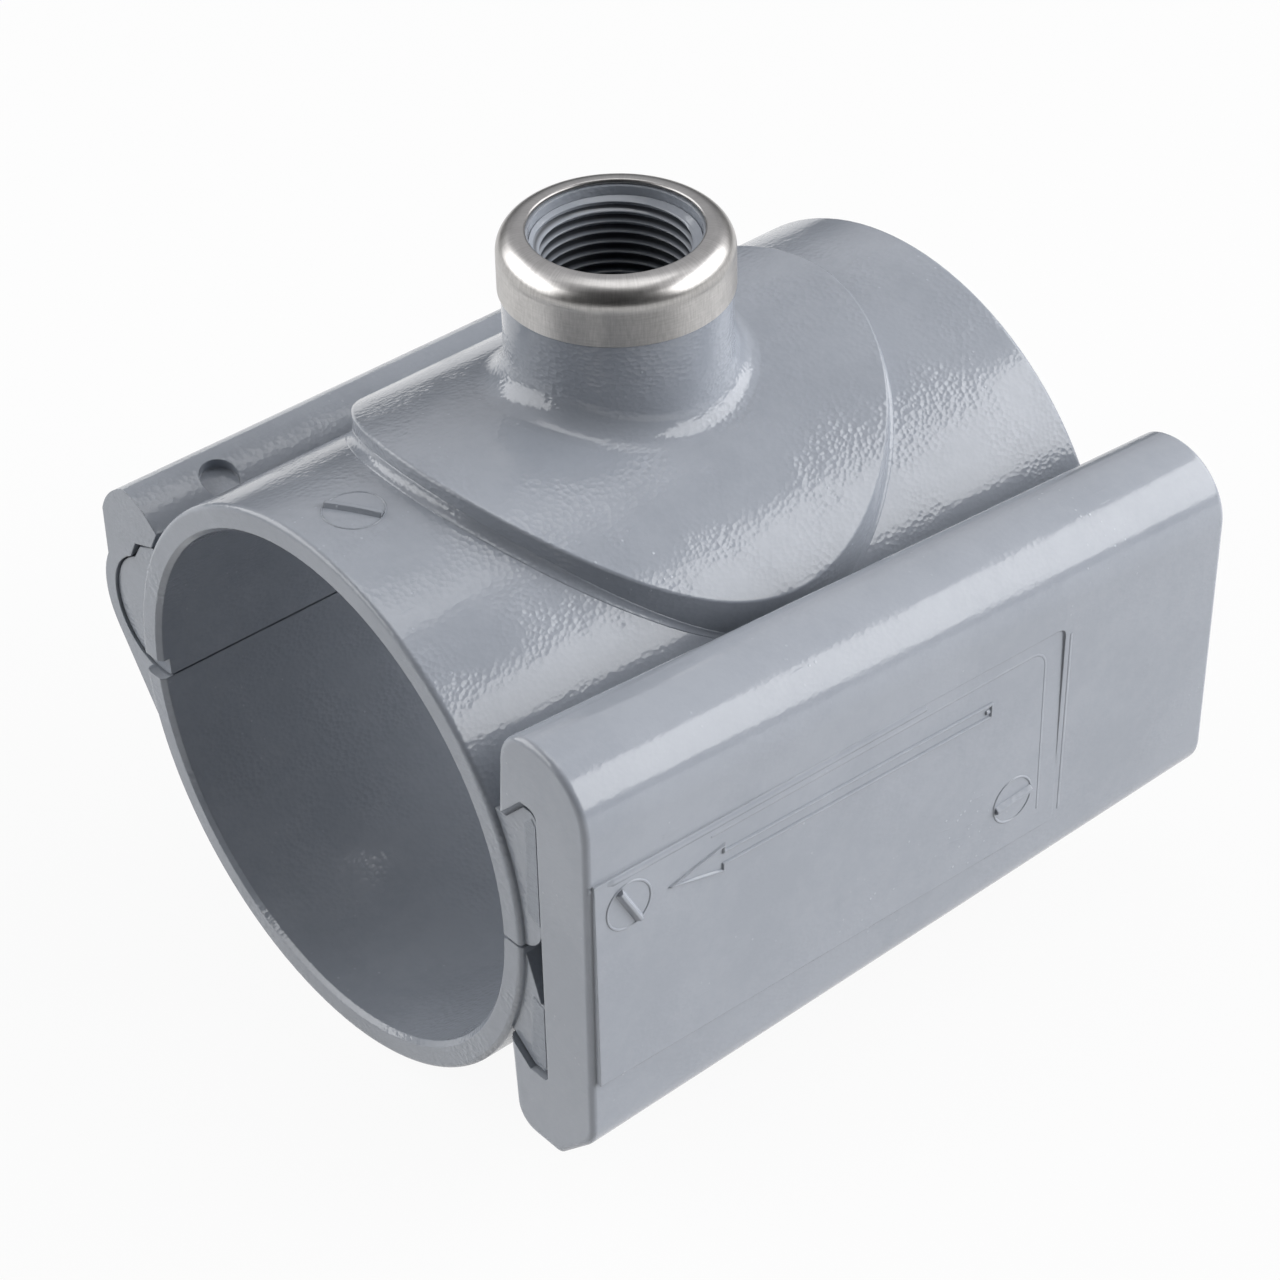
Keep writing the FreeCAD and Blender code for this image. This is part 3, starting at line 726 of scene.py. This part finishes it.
floor_corners = [Vector((x * FLOOR_REACH, y * FLOOR_REACH, FLOOR_HEIGHT))
                 for x, y in ((-1, -1), (1, -1), (1, 1), (-1, 1))]
floor = mesh_object("floor", floor_corners, [(0, 1, 2, 3)], stage_material("floor_pale"), smooth=False)


# World

SKY = 0.22
SKY_TINT = (1.0, 1.0, 1.02, 1.0)
BLACK = (0.0, 0.0, 0.0, 1.0)
STUDIO_TINT = (1.0, 1.0, 1.03, 1.0)
DARK_SIDE = (-0.64, -0.74, 0.10)
FILL = 3.6
FILL_FROM = (0.80, -0.58, 0.12)


def studio():
    """White to the camera, a dim studio in gloss, and a broad fill from the front right."""
    world = bpy.data.worlds.new("studio")
    bpy.context.scene.world = world
    world.use_nodes = True
    g = Graph(world.node_tree)
    direction = g.node("ShaderNodeTexCoord").outputs["Generated"]
    toward_dark = g.vector("DOT_PRODUCT", direction, Vector(DARK_SIDE).normalized(), "Value")
    toward_fill = g.vector("DOT_PRODUCT", direction, Vector(FILL_FROM).normalized(), "Value")
    lit_side = g.span(toward_dark, -0.15, 0.65, 1.0, 0.06)
    above_table = g.span(g.axes(direction)[2], 0.02, 0.50, 0.05, 1.0)
    studio_level = g.times(lit_side, above_table)

    soft = g.node("ShaderNodeBackground")
    soft.inputs[0].default_value = SKY_TINT
    fill = g.span(toward_fill, 0.72, 0.97, 0.0, FILL)
    g.link(g.add(g.times(studio_level, SKY), fill), soft.inputs[1])

    white = g.node("ShaderNodeBackground")
    studio_colour = g.mix(studio_level, BLACK, STUDIO_TINT)
    seen_first = g.node("ShaderNodeLightPath").outputs["Is Camera Ray"]
    g.link(g.mix(seen_first, studio_colour, WHITE), white.inputs[0])
    white.inputs[1].default_value = 1.0

    out = g.node("ShaderNodeOutputWorld")
    g.link(g.mix_shader(shown(g), soft.outputs[0], white.outputs[0]), out.inputs[0])


studio()


# Lamps and camera

def softbox(name, toward, distance, width, height, level):
    """A rectangular softbox that faces the object; a level of 1 lights a white surface to white."""
    lamp = bpy.data.lights.new(name, "AREA")
    lamp.shape = "RECTANGLE"
    lamp.size = width
    lamp.size_y = height
    lamp.energy = level * (math.pi * distance) ** 2
    made = bpy.data.objects.new(name, lamp)
    made.location = Vector(toward).normalized() * distance
    made.rotation_euler = (-made.location).to_track_quat("-Z", "Y").to_euler()
    bpy.context.scene.collection.objects.link(made)


softbox("right_box", toward=(0.76, -0.62, 0.50), distance=1.10, width=1.45, height=0.74, level=1.08)
softbox("left_box", toward=(-0.68, 0.68, 0.44), distance=1.05, width=1.40, height=0.80, level=1.06)
softbox("top_box", toward=(0.12, 0.05, 0.95), distance=1.0, width=0.66, height=0.60, level=0.23)

CAMERA_PLACE = (-0.308642, -0.369021, 0.365654)
CAMERA_TURN = (
    (0.754588, 0.409996, -0.512348),
    (-0.655935, 0.449125, -0.606660),
    (-0.018620, 0.793845, 0.607835),
)
camera_data = bpy.data.cameras.new("camera")
camera_data.sensor_fit = "HORIZONTAL"
camera_data.sensor_width = 36.0
camera_data.lens = 101.755
camera_data.clip_start = 0.01
camera_data.clip_end = 20.0
camera = bpy.data.objects.new("camera", camera_data)
camera.matrix_world = Matrix.Translation(CAMERA_PLACE) @ Matrix(CAMERA_TURN).to_4x4()
bpy.context.scene.collection.objects.link(camera)
bpy.context.scene.camera = camera
bpy.context.scene.view_settings.view_transform = "Standard"
